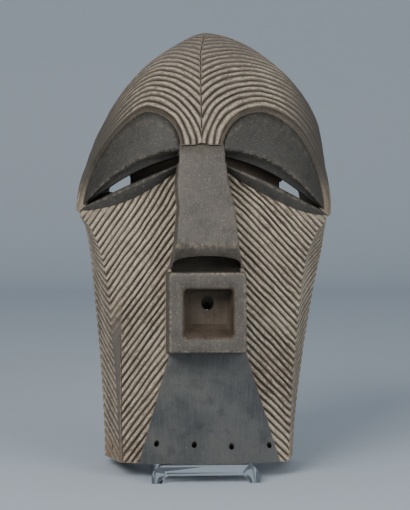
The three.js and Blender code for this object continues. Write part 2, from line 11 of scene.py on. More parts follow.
import bmesh
import bpy
import numpy as np
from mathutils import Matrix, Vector


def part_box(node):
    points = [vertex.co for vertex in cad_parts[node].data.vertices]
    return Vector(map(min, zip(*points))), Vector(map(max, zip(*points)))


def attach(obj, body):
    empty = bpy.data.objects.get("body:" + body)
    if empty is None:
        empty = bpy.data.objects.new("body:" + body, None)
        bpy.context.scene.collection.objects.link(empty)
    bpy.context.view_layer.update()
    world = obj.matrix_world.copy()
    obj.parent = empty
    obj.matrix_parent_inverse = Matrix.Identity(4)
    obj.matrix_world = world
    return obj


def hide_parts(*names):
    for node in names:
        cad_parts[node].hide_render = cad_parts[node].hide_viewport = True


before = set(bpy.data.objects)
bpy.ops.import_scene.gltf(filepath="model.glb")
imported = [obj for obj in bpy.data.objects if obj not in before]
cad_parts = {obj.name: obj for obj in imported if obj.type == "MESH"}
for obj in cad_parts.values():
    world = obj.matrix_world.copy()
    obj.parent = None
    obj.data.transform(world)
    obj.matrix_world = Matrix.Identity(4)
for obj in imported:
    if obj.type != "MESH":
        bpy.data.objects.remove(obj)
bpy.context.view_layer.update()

# Sizes of the mask
MASK_HEIGHT = 380
MASK_WIDTH = 226
FACE_DEPTH = 133
NOSE_DEPTH = 149
MOUTH_DEPTH = 150
FACE_WALL = 16
CHIN_WALL = 12.8
SIDE_WALL = 21
LID_STEP = 4
PANEL_RISE = 0.7
GROOVE_DEPTH = 1.8
BROW_PITCH = 5.6
CROWN_PITCH = 4.8
NARROWING = 24  # crests, counted from the brow, over which the pitch narrows to the crown's
CHEEK_RISE = {1: 6.8, -1: 7.7}
CHEEK_SLANT = {1: math.radians(45), -1: math.radians(54)}
SIDE_SLANT = math.radians(18)
CORD_HOLE_RADIUS = 2.3
CORD_HOLES = ((-42, 17.5), (-10, 17), (22, 15), (55.5, 14.8))
SIDE_HOLE_HEIGHT = 10.5
MOUTH_HOLE_RADIUS = 5.3
BORE_SLANT = math.radians(28)
LEAN = math.radians(6)

# Sizes of the stand
STAND_WIDTH = 93
STAND_HEIGHT = 15.4
STAND_REACH = 108
SHEET = 9
SHOULDER = 11
INNER_BEND = 7
POST_WIDTH = 46
POST_SHEET = 5
POST_HEIGHT = 105
TOE = 1.2
TOUCH = 0.3

# Shares of the face's height, half width and depth
H = MASK_HEIGHT / 1.011
W = MASK_WIDTH / 2
D = FACE_DEPTH
SPRING = 0.588 * H
DOME_EDGE = 0.414 * D
RIM_SWING = math.radians(108)
EYE_CORNER_X = 0.956 * W
EYE_CORNER_Z = 0.59 * H
CHIN_DEPTH = 0.759 * D
STRIP_X = 0.648 * W
STRIP_TOP = 0.37 * H
HOLLOW_DRIFT = 4
SLIT_OPEN = {1: 0.6 * W, -1: 0.55 * W}
SLIT_FLOOR = 7

# The striations: how they are cut, how much they waver, and how many points they have
CUT_WIDTH = 0.56  # share of the pitch that the cut takes
VISIBLE_DEPTH = 0.7 * GROOVE_DEPTH
WAVER = 0.13  # pitches that a crest strays to either side
UNEVEN = 0.3  # share by which the depth of a cut comes and goes
TOOL_MARKS = 0.14
LINE_DEPTH = 1.1
PLAIN_MARK = -1  # stands for bare wood where the weave attribute holds a depth
PHASES = (0.0, 0.24, 0.39, 0.5, 0.61, 0.76)
FOREHEAD_CRESTS = 37
FOREHEAD_COLUMNS = 84
SIDE_COLUMNS = 12
STRIP_COLUMNS = 4
LINE_COLUMNS = 2
FIELD_COLUMNS = 36
ROUND_SIDES = 24
EYE_STEPS = 36

# Kinds of surface, in the order of the mask's material slots; the last is painted shade: dark wood on the
# walls of the bores, of the recess under the nose and of the seam
WOODS = ("carved", "lid", "chin", "feature", "recess", "inside", "painted_shade")
CARVED, LID, CHIN, FEATURE, RECESS, INSIDE, PAINTED_SHADE = range(len(WOODS))


def mix(a, b, share):
    return a + (b - a) * share


def ease(value, low, high):
    share = np.clip((value - low) / (high - low), 0, 1)
    return share * share * (3 - 2 * share)


def point(x, d, z):
    return np.stack(np.broadcast_arrays(x, d, z), -1).astype(float)


def wander(a, b, seed):
    """Smooth seeded noise from -1 to 1 over two coordinates, with one bump per unit."""
    table = np.random.default_rng(seed).uniform(-1, 1, (97, 97))
    a, b = np.broadcast_arrays(np.asarray(a, float), np.asarray(b, float))
    i, j = np.floor(a).astype(int), np.floor(b).astype(int)
    u, v = ease(a - i, 0, 1), ease(b - j, 0, 1)
    low = mix(table[i % 97, j % 97], table[(i + 1) % 97, j % 97], u)
    high = mix(table[i % 97, (j + 1) % 97], table[(i + 1) % 97, (j + 1) % 97], u)
    return mix(low, high, v)


def profile(points):
    """A smooth function of height through a few points of height share and value."""
    knots = np.array(points, float)
    last = len(knots) - 1
    places = np.linspace(0, last, 81)
    i = np.minimum(places.astype(int), last)
    t = (places - i)[:, None]
    p0, p1 = knots[np.maximum(i - 1, 0)], knots[i]
    p2, p3 = knots[np.minimum(i + 1, last)], knots[np.minimum(i + 2, last)]
    v0, v1 = (p2 - p0) / 2, (p3 - p1) / 2
    curve = (2 * p1 - 2 * p2 + v0 + v1) * t**3 + (3 * p2 - 3 * p1 - 2 * v0 - v1) * t**2 + v0 * t + p1
    return lambda z: np.interp(np.asarray(z) / H, curve[:, 0], curve[:, 1])


def bezier(*points):
    a, b, c = (np.array([x * W, z * H]) for x, z in points)

    def at(share):
        t = np.asarray(share, float)[..., None]
        return a * (1 - t) ** 2 + 2 * b * t * (1 - t) + c * t**2

    return at


# The dome: an egg over a pointed outline. turn goes round the outline, swing from its front to the back rim
def dome_reach(turn):
    climb = np.arcsin(np.clip(np.abs(np.sin(turn)), 0, 1)) / (math.pi / 2)
    tall = W + (MASK_HEIGHT - SPRING - W) * np.maximum(0, (climb - 0.22) / 0.78) ** 1.25
    return np.where(np.sin(turn) <= 0, W, tall)


def dome_point(turn, swing, inset=0):
    reach = (dome_reach(turn) - inset) * np.sin(swing)
    spans = np.where(swing < math.pi / 2, D - DOME_EDGE - inset, DOME_EDGE / -math.cos(RIM_SWING))
    return point(reach * np.cos(turn), DOME_EDGE + np.cos(swing) * spans, SPRING + reach * np.sin(turn))


def dome_depth(x, z, inset=0):
    turn = np.arctan2(z - SPRING, x)
    reach = np.hypot(x, z - SPRING) / (dome_reach(turn) - inset)
    return DOME_EDGE + (D - DOME_EDGE - inset) * np.sqrt(np.maximum(0, 1 - reach * reach))


# The lower face: at each height a rim, a ridge and a bowed cheek that runs to the middle
def rim_x(z):
    top = 0.577 * H
    low = mix(0.76 * W, 0.985 * W, (np.maximum(z, 0) / top) ** 1.5)
    return np.where(z < top, low, mix(0.985 * W, 0.8 * W, (z - top) / (0.15 * H)))


ridge_across = profile([
    (0, 0.652), (0.17, 0.677), (0.29, 0.708), (0.4, 0.742), (0.48, 0.792), (0.54, 0.868),
    (0.59, EYE_CORNER_X / W), (0.72, 0.79),
])
ridge_share = profile([(0, 0.556), (0.17, 0.59), (0.37, 0.665), (0.51, 0.645), (0.59, 0.575), (0.74, 0.45)])
middle_share = profile([(0, CHIN_DEPTH / D), (0.25, 0.885), (0.48, 0.9), (0.74, 0.86)])


def ridge_x(z):
    return W * ridge_across(z)


def ridge_depth(z):
    return D * ridge_share(z)


def middle_depth(z):
    return D * middle_share(z)


def cheek_depth(x, z):
    across = np.minimum(1, np.abs(x) / ridge_x(z))
    return mix(middle_depth(z), ridge_depth(z), across**1.6)


# Lines of the eye and the brow in the front view
lid_edge = bezier((0.18, 0.711), (0.57, 0.708), (0.95, 0.591))
slit_top = bezier((0.17, 0.701), (0.57, 0.674), (0.92, 0.596))
slit_bottom = bezier((0.17, 0.682), (0.56, 0.641), (0.915, 0.594))
lower_lid_edge = bezier((0.17, 0.67), (0.58, 0.58), (0.958, 0.584))
BROW_APEX = (0.442 * W, 0.811 * H)
BROW_INNER = (0.155 * W, 0.723 * H)
BROW_OUTER = (0.965 * W, 0.59 * H)


def brow_point(share):
    share = np.asarray(share, float)
    inner = share < 0.5
    end_x, end_z = (np.where(inner, a, b) for a, b in zip(BROW_INNER, BROW_OUTER))
    power = np.where(inner, 2, 1.6)
    angle = np.abs(np.clip(share, 0, 1) - 0.5) * math.pi
    x = mix(BROW_APEX[0], end_x, np.sin(angle) ** (2 / power))
    z = mix(end_z, BROW_APEX[1], np.maximum(0, np.cos(angle)) ** (2 / power))
    return np.stack([x, z + 100 * np.minimum(share, 0) - 100 * np.maximum(share - 1, 0)], -1)


# Solids
def make(name, vertices, faces, kind, weave=None, edge=None):
    """A mesh object of one kind of surface, turned outward. weave holds where each vertex lies among the
    striations: millimetres along, crests across and depth in the groove. edge is how worn it is."""
    mesh = bpy.data.meshes.new(name)
    mesh.from_pydata(vertices.tolist(), [], faces)
    for wood in materials:
        mesh.materials.append(wood)
    mesh.polygons.foreach_set("material_index", [kind] * len(mesh.polygons))
    count = len(vertices)
    weave = np.zeros((count, 3)) if weave is None else weave
    edge = np.zeros(count) if edge is None else edge
    lie = mesh.attributes.new("weave", "FLOAT_VECTOR", "POINT")
    lie.data.foreach_set("vector", weave.astype("f4").ravel())
    worn = mesh.attributes.new("worn", "FLOAT", "POINT")
    worn.data.foreach_set("value", edge.astype("f4"))
    shape = bmesh.new()
    shape.from_mesh(mesh)
    if shape.calc_volume(signed=True) < 0:
        bmesh.ops.reverse_faces(shape, faces=shape.faces)
    shape.to_mesh(mesh)
    shape.free()
    result = bpy.data.objects.new(name, mesh)
    bpy.context.scene.collection.objects.link(result)
    return result


def loft(name, rings, kind, edge=None):
    """A closed skin over a row of rings of the same number of points."""
    rings = np.asarray(rings, float)
    rows, n = rings.shape[:2]
    faces = []
    for i in range(rows - 1):
        for j in range(n):
            k = (j + 1) % n
            faces.append((i * n + j, i * n + k, (i + 1) * n + k, (i + 1) * n + j))
    faces.append(tuple(range(n))[::-1])
    faces.append(tuple(range((rows - 1) * n, rows * n)))
    worn = None if edge is None else np.asarray(edge).ravel()
    return make(name, rings.reshape(-1, 3), faces, kind, edge=worn)


def sheet(name, surface, lowered, thickness, inside, weave):
    """A thick sheet under a grid of surface points, each lowered by its own amount."""
    rows, columns = surface.shape[:2]
    normal = np.cross(np.gradient(surface, axis=0), np.gradient(surface, axis=1))
    normal /= np.linalg.norm(normal, axis=-1, keepdims=True) + 1e-12
    outward = np.sign((normal * (surface - inside)).sum(-1, keepdims=True))
    normal *= outward
    top = surface - normal * lowered[..., None]
    bottom = surface - normal * thickness
    index = np.arange(rows * columns).reshape(rows, columns)
    under = index + rows * columns
    quads = np.stack([index[:-1, :-1], index[:-1, 1:], index[1:, 1:], index[1:, :-1]], -1).reshape(-1, 4)
    faces = quads.tolist() + (quads[:, ::-1] + rows * columns).tolist()
    border = [*index[0], *index[1:, -1], *index[-1, -2::-1], *index[-2:0:-1, 0]]
    below = [*under[0], *under[1:, -1], *under[-1, -2::-1], *under[-2:0:-1, 0]]
    for i in range(len(border)):
        k = (i + 1) % len(border)
        faces.append((border[k], border[i], below[i], below[k]))
    both = np.concatenate([weave.reshape(-1, 3)] * 2)
    vertices = np.concatenate([top.reshape(-1, 3), bottom.reshape(-1, 3)])
    return make(name, vertices, [tuple(int(i) for i in face) for face in faces], CARVED, both)


def prism(name, outline, kind=INSIDE, low=-20, high=220):
    """A flat outline in x and z, drawn through the depth of the mask."""
    outline = np.asarray(outline, float)
    return loft(name, [point(outline[:, 0], d, outline[:, 1]) for d in (low, high)], kind)


def rod(name, radius, start, end):
    """A round cutter from one point to another. The walls of the bore it leaves are painted dark: painted
    shade.
    """
    start, end = np.array(start, float), np.array(end, float)
    along = (end - start) / np.linalg.norm(end - start)
    aside = np.cross(along, (0.3, 0.2, 0.9))
    aside /= np.linalg.norm(aside)
    angles = np.linspace(0, 2 * math.pi, ROUND_SIDES, endpoint=False)[:, None]
    ring = radius * (np.cos(angles) * aside + np.sin(angles) * np.cross(along, aside))
    return loft(name, [start + ring, end + ring], PAINTED_SHADE)


def combine(base, others, operation):
    """Joins others to base, or cuts them from it, one after another."""
    for other in others:
        modifier = base.modifiers.new(other.name, "BOOLEAN")
        modifier.operation = operation
        modifier.solver = "MANIFOLD"
        modifier.object = other
    graph = bpy.context.evaluated_depsgraph_get()
    mesh = bpy.data.meshes.new_from_object(base.evaluated_get(graph), depsgraph=graph)
    base.modifiers.clear()
    base.data = mesh
    for other in others:
        bpy.data.objects.remove(other)
    return base


def half_space(side):
    across = [[side * -0.2, -60], [side * 300, -60], [side * 300, 500], [side * -0.2, 500]]
    return prism("half_space", across, low=0, high=300)


def above(right, left):
    """Everything above a line from temple to temple, given from the middle out to each side."""
    far = 1.3 * W
    halves = [[*half, (far, half[-1][1]), (far, 1.2 * H)] for half in (right.tolist(), left.tolist())]
    outline = halves[0] + [(-x, z) for x, z in halves[1][::-1]]
    return prism("above", outline)


def groove_shape(phase):
    """Depth of the striations over one pitch, from 0 on a broad crest to 1 in the narrow cut between two."""
    away = np.abs(phase - 0.5) * 2
    return np.clip(1 - away / CUT_WIDTH, 0, 1) ** 1.1


def phases(low, high):
    """Positions across the striations, in pitches, from one whole number to another."""
    return np.concatenate([i + np.array(PHASES) for i in range(low, high)] + [[high]])


# Forehead
def dome_direction(place):
    x, z = place[..., 0], place[..., 1]
    turn = np.arctan2(z - SPRING, x)
    swing = np.arcsin(np.minimum(0.9999, np.hypot(x, z - SPRING) / dome_reach(turn)))
    return np.stack([np.sin(swing) * np.cos(turn), np.cos(swing), np.sin(swing) * np.sin(turn)], -1)


def crest_travel(crest):
    """Distance over the dome to a crest: the pitch narrows from the brow to the crown."""
    narrowed = np.minimum(crest, NARROWING)
    return CROWN_PITCH * crest + (BROW_PITCH - CROWN_PITCH) * (narrowed - narrowed**2 / (2 * NARROWING))


def dome_row(share, travels):
    """Points on the dome at the given distances from a pitch inside the brow, square to it."""
    here = dome_direction(brow_point(share))
    along = dome_direction(brow_point(share + 0.004)) - dome_direction(brow_point(share - 0.004))
    away = np.cross(here, along)
    away /= np.linalg.norm(away)
    eye = dome_direction(np.array([BROW_APEX[0], BROW_OUTER[1] + 0.1 * H]))
    if away @ (here - eye) < 0:
        away = -away
    angles = np.arange(-BROW_PITCH / (0.9 * D), 2.6, 0.004)[:, None]
    directions = here * np.cos(angles) + away * np.sin(angles)
    turn = np.unwrap(np.arctan2(directions[:, 2], directions[:, 0]))
    swing = np.arccos(np.clip(directions[:, 1], -1, 1))
    points = dome_point(turn, swing)
    length = np.concatenate([[0], np.linalg.norm(np.diff(points, axis=0), axis=1).cumsum()])
    return np.stack([np.interp(travels, length, points[:, i]) for i in range(3)], -1)


def forehead_half(side):
    shares = np.linspace(-0.03, 1.03, FOREHEAD_COLUMNS)
    crests = phases(1, FOREHEAD_CRESTS)
    crests[0] = 1 - 0.15
    waver = WAVER * wander(crests[:, None] * 0.8, shares[None] * 9 + 40, 11 + side)
    rows = [dome_row(share, crest_travel(crests + waver[:, i])) for i, share in enumerate(shares)]
    surface = np.stack(rows, axis=1)
    uneven = 1 + UNEVEN * wander(crests[:, None], shares[None] * 14, 21 + side)
    depth = groove_shape(crests % 1)[:, None] * uneven
    lowered = VISIBLE_DEPTH * depth + TOOL_MARKS * wander(crests[:, None] * 0.9, shares[None] * 40, 31 + side)
    # The border of the brow steps down to the lid, and its first two rows take the painted shade of the cuts
    lowered[0] = LID_STEP + 2.5
    depth[0] = 0.9
    depth[1] = 0.45
    length = np.cumsum(np.linalg.norm(np.diff(surface, axis=1, prepend=surface[:, :1]), axis=-1), axis=1)
    weave = np.stack([length, np.broadcast_to(crests[:, None] + 60 * side, depth.shape), depth], -1)
    if side < 0:
        surface = surface * (-1, 1, 1)
    half = sheet("forehead", surface, lowered, LID_STEP + 4, (0, 0, SPRING), weave)
    combine(half, [half_space(side)], "INTERSECT")
    wide, low, top = 0.15 * W, 0.5 * H, BROW_INNER[1]
    root = [[-wide, low], [wide, low], [wide, top], [-wide, top]]
    return combine(half, [prism("root_cut", root, LID, 0.5 * D)], "DIFFERENCE")


def seam():
    """The thin line incised up the middle of the forehead. Its walls are painted dark: painted shade."""
    middle = np.array([0, 0.3 * D, SPRING])
    rings = []
    for swing in np.radians(np.linspace(24, 72, 30)):
        spot = dome_point(math.pi / 2, swing)
        out = (spot - middle) / np.linalg.norm(spot - middle)
        rings.append([spot + out * 2 + (-1.2, 0, 0), spot + out * 2 + (1.2, 0, 0), spot - out * 1.5])
    return loft("seam", rings, PAINTED_SHADE)


# Cheeks and sides
def ridge_start(middle, slant):
    """The height on the ridge where a crest starts that climbs at this slant to that height in the middle."""
    low, high = np.full_like(middle, -H), np.full_like(middle, H)
    for _ in range(30):
        z = (low + high) / 2
        short = z + ridge_x(z) * math.tan(slant) < middle
        low, high = np.where(short, z, low), np.where(short, high, z)
    return low


def lower_half(side):
    slant, rise = CHEEK_SLANT[side], CHEEK_RISE[side]
    crests = phases(-1, math.floor((EYE_CORNER_Z + EYE_CORNER_X * math.tan(slant)) / rise))
    side_shares = np.linspace(1.03, 0.05, SIDE_COLUMNS)
    columns = SIDE_COLUMNS + STRIP_COLUMNS + LINE_COLUMNS + FIELD_COLUMNS
    waver = WAVER * wander(crests[:, None] * 0.8, np.linspace(0, 9, columns)[None], 41 + side)
    ridge_z = ridge_start((crests[:, None] + waver) * rise, slant)
    side_z, ridge_z = ridge_z[:, :SIDE_COLUMNS], ridge_z[:, SIDE_COLUMNS:]
    z_side = side_z + side_shares * ridge_depth(side_z) * math.tan(SIDE_SLANT)
    x_side = mix(ridge_x(z_side), rim_x(z_side), side_shares)
    d_side = ridge_depth(z_side) * (1 - side_shares)
    edge = ridge_x(ridge_z)
    strip = np.clip(1 - STRIP_X / ridge_x(ridge_start(crests * rise, slant)), 0.02, 0.2)[:, None]
    border = strip * (0, 0.5, 0.92, 1)
    incised = strip + (0.009, 0.02)
    field = mix(strip + 0.04, 1.02, np.linspace(0, 1, FIELD_COLUMNS))
    cheek_shares = np.concatenate([border, incised, field], axis=1)
    x_cheek = edge * (1 - cheek_shares)
    z_cheek = ridge_z + edge * cheek_shares * math.tan(slant)
    d_cheek = cheek_depth(x_cheek, z_cheek)
    surface = np.concatenate([point(x_side, d_side, z_side), point(x_cheek, d_cheek, z_cheek)], axis=1)
    outer_shares = np.broadcast_to(-side_shares * 0.8, side_z.shape)
    shares = np.concatenate([outer_shares, cheek_shares], axis=1)
    depth = groove_shape(crests % 1)[:, None] * (1 + UNEVEN * wander(crests[:, None], shares * 10, 51 + side))
    depth[:, :SIDE_COLUMNS] *= 0.7
    plain, line = np.zeros_like(depth), np.zeros_like(depth)
    if side < 0:
        incised_at = SIDE_COLUMNS + STRIP_COLUMNS
        plain[:, SIDE_COLUMNS:incised_at + 1] = 1 - ease(ridge_z[:, :1], STRIP_TOP - 45, STRIP_TOP + 6)
        line[:, incised_at:incised_at + 1] = 1 - ease(ridge_z[:, :1], 0.22 * H, 0.3 * H)
    depth = depth * (1 - plain)
    lowered = VISIBLE_DEPTH * depth + TOOL_MARKS * wander(crests[:, None] * 0.9, shares * 30, 61 + side)
    lowered += LINE_DEPTH * line
    lowered[:, SIDE_COLUMNS] += 0.3
    length = np.cumsum(np.linalg.norm(np.diff(surface, axis=1, prepend=surface[:, :1]), axis=-1), axis=1)
    across = np.broadcast_to(crests[:, None] + 200 * side, depth.shape)
    # The depth also darkens the colour of the cuts and of the incised line: painted shade
    weave = np.stack([length, across, np.maximum(depth, line)], -1)
    weave[..., 2] = np.where(plain > line, mix(weave[..., 2], PLAIN_MARK, plain), weave[..., 2])
    surface = surface * (side, 1, 1)
    half = sheet("cheek", surface, lowered, 9, (0, 0, 0.4 * H), weave)
    far = 1.2 * W
    eye_line = slit_bottom(np.linspace(1, 0, 30)).tolist()
    beneath = [[0, -0.1 * H], [far, -0.1 * H], [far, EYE_CORNER_Z], *eye_line, [0, eye_line[-1][1]]]
    under = prism("under", [(side * x, z - 2) for x, z in beneath])
    return combine(half, [half_space(side), under], "INTERSECT")


# Cores that the sheets lie on
def dome_solid(name, inset, turns, kind, past=0.0, aside=0.0):
    swings = [math.radians(a) for a in (12, 30, 45, 58, 69, 80, 90, 100, 108)]
    if past:
        swings.append(RIM_SWING + past)
    turn = np.linspace(0, 2 * math.pi, turns, endpoint=False)
    return loft(name, [dome_point(turn, swing, inset) + (aside, 0, 0) for swing in swings], kind)


def mirrored_ring(half):
    half = np.asarray(half, float)
    return np.concatenate([half, (half * (-1, 1, 1))[::-1]])


def lower_face(name, rise, shrink, kind):
    across = np.array([1, 0.9, 0.82, 0.72, 0.62, 0.5, 0.4, 0.3, 0.2, 0.12, 0.04])
    rings = []
    for share in np.linspace(0, 1, 16):
        z = 0.715 * H * share - 0.02 * H * (1 - share)
        ridge = ridge_x(z) - shrink
        cheek = point(across * ridge, cheek_depth(across * ridge_x(z), z) + rise, z)
        rings.append(mirrored_ring([point(rim_x(z) - shrink, 0, z), *cheek]))
    return loft(name, rings, kind)


# Eyelids
def along_eye(name, section, side, kind, edge=None):
    rings = [np.asarray(section(share), float) * (side, 1, 1) for share in np.linspace(0, 1, EYE_STEPS)]
    worn = None if edge is None else [edge] * EYE_STEPS
    return loft(name, rings, kind, worn)


def upper_lid(side):
    """From under the brow, over a sloped border and the bulging lid, round its edge and back to the slit."""
    border, undercut = 5.0, 8.0
    spots = np.array([0, 0.04, 0.1, 0.17, 0.25, 0.34, 0.45, 0.57, 0.7, 0.82, 0.91, 0.96, 0.985, 1.0])

    def section(share):
        brow, edge, slit = brow_point(share), lid_edge(share), slit_top(share)
        span = edge - brow
        width = np.linalg.norm(span)
        tucked = brow - span / width * 2.5
        line = brow + span * spots[:, None]
        run = width * spots
        root = 2.2 * (1 - ease(run, 0.3, min(border, 0.5 * width)))
        lip = 1.3 * np.clip(1 - (width - run) / 2.2, 0, 1) ** 2
        bulge = 1.0 * np.sin(math.pi * spots) * min(1, width / 40)
        d_line = dome_depth(line[:, 0], line[:, 1], LID_STEP) - root - lip + bulge
        d = d_line[-1]
        drop = undercut * mix(1, 0.35, share**2)
        cove = [(0.12, 0.22), (0.35, 0.55), (0.7, 0.85), (1.0, 1.0)]
        ring = [point(tucked[0], dome_depth(tucked[0], tucked[1], LID_STEP) - 3, tucked[1])]
        ring += list(point(line[:, 0], d_line, line[:, 1]))
        rim = np.array([edge[0], d, edge[1]])
        inner = np.array([slit[0], d, slit[1]])
        ring += [point(*mix(rim, inner, a)) - (0, drop * b, 0) for a, b in cove]
        ring += [point(slit[0], d - 30, slit[1]), point(edge[0], d - 30, edge[1] + 8)]
        ring += [point(tucked[0], dome_depth(tucked[0], tucked[1], LID_STEP) - 14, tucked[1])]
        return ring

    worn = np.zeros(1 + len(spots) + 4 + 3)
    worn[[11, 12, 13, 14, 15]] = (0.15, 0.6, 0.95, 1, 0.45)
    worn[[4, 5, 6]] = (0.12, 0.32, 0.12)
    return along_eye("upper_lid", section, side, LID, edge=worn)


def lower_lid(side):
    rise = 8

    def section(share):
        slit, edge = slit_bottom(share), lower_lid_edge(share)
        fade = mix(1, 0.25, share**3)
        lip = slit[1] - 0.25 * (slit[1] - edge[1])
        d = cheek_depth(slit[0], slit[1])
        inner = np.array([slit[0], d + 0.6 * rise * fade, slit[1]])
        crest = np.array([slit[0], cheek_depth(slit[0], lip) + 1.05 * rise * fade, mix(slit[1], lip, 0.7)])
        foot = np.array([edge[0], cheek_depth(edge[0], edge[1]) + 0.4, edge[1]])
        ring = [inner, mix(inner, crest, 0.55)]
        mid = mix(crest, foot, 0.5) + (0, 0.5 * fade, 0)
        ring += [mix(mix(inner, crest, t), mix(crest, mid, t), t) for t in (0.75, 0.9)]
        ring += [mix(crest, mid, 0.35), mid, foot]
        ring += [point(edge[0], d - 20, edge[1] - 0.5), point(slit[0], d - 20, slit[1])]
        return ring

    return along_eye("lower_lid", section, side, LID, edge=np.array([0.1, 0.5, 0.8, 0.5, 0.1, 0, 0, 0, 0]))


def hollow_depth(x, z):
    edge = ridge_x(z) - 0.8 * SIDE_WALL
    wall = mix(CHIN_WALL, FACE_WALL, np.clip(z / (0.35 * H), 0, 1))
    return cheek_depth(x / edge * ridge_x(z), z) - wall


def eye_slit(side):
    def section(share):
        top, bottom = slit_top(share), slit_bottom(share)
        floor = hollow_depth(top[0] - side * HOLLOW_DRIFT, top[1]) + SLIT_FLOOR
        corners = [(top, floor), (top, 1.2 * D), (bottom, 1.2 * D), (bottom, floor)]
        return [point(x, d, z) for (x, z), d in corners]

    slot = along_eye("slot", section, side, RECESS)
    shares = np.linspace(0, 1, 30)
    outline = np.concatenate([slit_top(shares), slit_bottom(shares[::-1])]) * (side, 1)
    through = prism("slit", outline, RECESS, 0.35 * D)
    far, near = side * 1.2 * W, side * SLIT_OPEN[side]
    outer = prism("outer", [(near, 0), (far, 0), (far, H), (near, H)])
    return [slot, combine(through, [outer], "INTERSECT")]


# Nose and mouth
NOSE_END = (0.447 * H, 0.268 * W)
RECESS_HALF, RECESS_TOP, RECESS_SINK = 0.255 * W, 0.472 * H, 7


def nose():
    root_z, tip_z = 0.707 * H, 0.495 * H
    root_d = dome_depth(0, root_z) + 1.2
    tip = np.array([tip_z, NOSE_DEPTH, 0.232 * W])
    root = np.array([root_z, root_d, 0.172 * W])
    under = np.array([NOSE_END[0], NOSE_DEPTH - (tip_z - NOSE_END[0]), NOSE_END[1]])
    before, after = mix(tip, root, 0.055), mix(tip, under, 0.2)
    levels = [under, mix(under, tip, 0.4), mix(under, tip, 0.65)]
    levels += [mix(mix(after, tip, t), mix(tip, before, t), t) for t in (0, 0.25, 0.5, 0.75, 1)]
    levels += [mix(tip, root, t) for t in (0.12, 0.25, 0.4, 0.55, 0.7, 0.85, 0.96)]
    levels += [root - (0, 0.6, 0.2), root + (0.01 * H, -4.5, -0.3), root + (0.02 * H, -7, -0.4)]
    wear = [0.05, 0.05, 0.1, 0.25, 0.6, 0.6, 0.2, 0.05] + [0, 0, 0, 0, 0, 0, 0.05, 0.1, 0.05, 0]
    rings, edges = [], []
    radius = 2.2
    for (z, d, half), worn in zip(levels, wear):
        corner = [(half + 2, 0.75 * D), (half + 0.4, d - 3.5 * radius), (half, d - radius)]
        corner += [(half - 0.12 * radius, d - 0.45 * radius), (half - 0.45 * radius, d - 0.12 * radius)]
        corner += [(half - radius, d), (0.5 * half, d + 0.35), (0, d + 0.5)]
        mine = np.array([point(x, deep, z) for x, deep in corner])
        rings.append(np.concatenate([mine, (mine[:-1] * (-1, 1, 1))[::-1]]))
        row = np.maximum(worn, np.multiply([0, 0, 0.3, 0.5, 0.5, 0.2, 0, 0], 0.5 + worn))
        edges.append(np.concatenate([row, row[:-1][::-1]]))
    return loft("nose", rings, FEATURE, edges)


def under_nose():
    """The arched recess between nose and mouth. Its walls are painted dark: painted shade."""
    turn = np.linspace(0, math.pi, 33)
    climb = np.abs(np.sin(turn)) ** 0.6
    arch = np.stack([RECESS_HALF * np.cos(turn), mix(NOSE_END[0], RECESS_TOP, climb)], -1)
    low = MOUTH[3] + 0.004 * H
    outline = [(RECESS_HALF, low), *arch, (-RECESS_HALF, low)]
    return prism("recess", outline, PAINTED_SHADE, float(middle_depth(RECESS_TOP)) - RECESS_SINK)


def rounded_box(x, half, bottom, top, depth, radius, squeeze=0.0):
    """A ring in x and z at one depth, with round corners, drawn in by squeeze."""
    half, low, high = half - squeeze - radius, bottom + squeeze + radius, top - squeeze - radius
    ring = []
    left, right = x - half, x + half
    for cx, cz, start in [(right, low, -90), (right, high, 0), (left, high, 90), (left, low, 180)]:
        for angle in np.radians(np.linspace(start, start + 90, 5)):
            ring.append(point(cx + radius * math.cos(angle), depth, cz + radius * math.sin(angle)))
    return ring


MOUTH = (0, 0.285 * W, 0.257 * H, 0.434 * H)
WELL = (0.006 * W, 0.181 * W, 0.291 * H, 0.397 * H)
WELL_FLOOR = (0.02 * W, 0.14 * W, 0.319 * H, 0.394 * H)
WELL_DEPTH = 0.19 * D


def mouth_block():
    flare, foot = 0.022 * W, 0.72 * D
    rings = [rounded_box(*MOUTH, foot, 2.5, -flare)]
    for t in (0.5, 0.8, 0.93):
        rings.append(rounded_box(*MOUTH, mix(foot, MOUTH_DEPTH, t), 2.5, -flare * (1 - t)))
    steps = [(0.0, 2.0, 0.3), (0.25, 1.05, 0.9), (0.85, 0.35, 0.9), (1.9, 0.0, 0.25), (3.2, -0.1, 0)]
    rings += [rounded_box(*MOUTH, MOUTH_DEPTH - drop, 2.5, squeeze) for squeeze, drop, _ in steps]
    edges = [[worn] * 20 for worn in [0, 0, 0, 0.1] + [step[2] for step in steps]]
    return loft("mouth", rings, FEATURE, edges)


def mouth_well():
    floor, rim = MOUTH_DEPTH - WELL_DEPTH, MOUTH_DEPTH
    rings = [rounded_box(*WELL_FLOOR, floor - 0.2, 2.0, 2.0), rounded_box(*WELL_FLOOR, floor + 0.4, 2.4, 0.5)]
    rings.append(rounded_box(*WELL_FLOOR, floor + 1.8, 2.8, 0))
    for t in (0.3, 0.6, 0.85):
        sizes = [mix(a, b, t) for a, b in zip(WELL_FLOOR, WELL)]
        rings.append(rounded_box(*sizes, mix(floor, rim, t), 3.0, -0.6 * math.sin(math.pi * t)))
    for out, rise in ((0.3, -1.3), (0.9, -0.4), (1.9, 0.15), (6, 1.6)):
        rings.append(rounded_box(*WELL, rim + rise, 3.2, -out))
    edges = [[worn] * 20 for worn in (0, 0, 0, 0, 0, 0, 0.1, 0.25, 0.1, 0)]
    return loft("well", rings, RECESS, edges)


def panel(name, foot_sides, foot, top_sides, top, kind):
    outline = [(foot_sides[1], foot), (top_sides[1], top), (top_sides[0], top), (foot_sides[0], foot)]
    whole = lower_face(name, PANEL_RISE, 0, kind)
    return combine(whole, [prism("taper", outline, kind, 0.6 * D)], "INTERSECT")


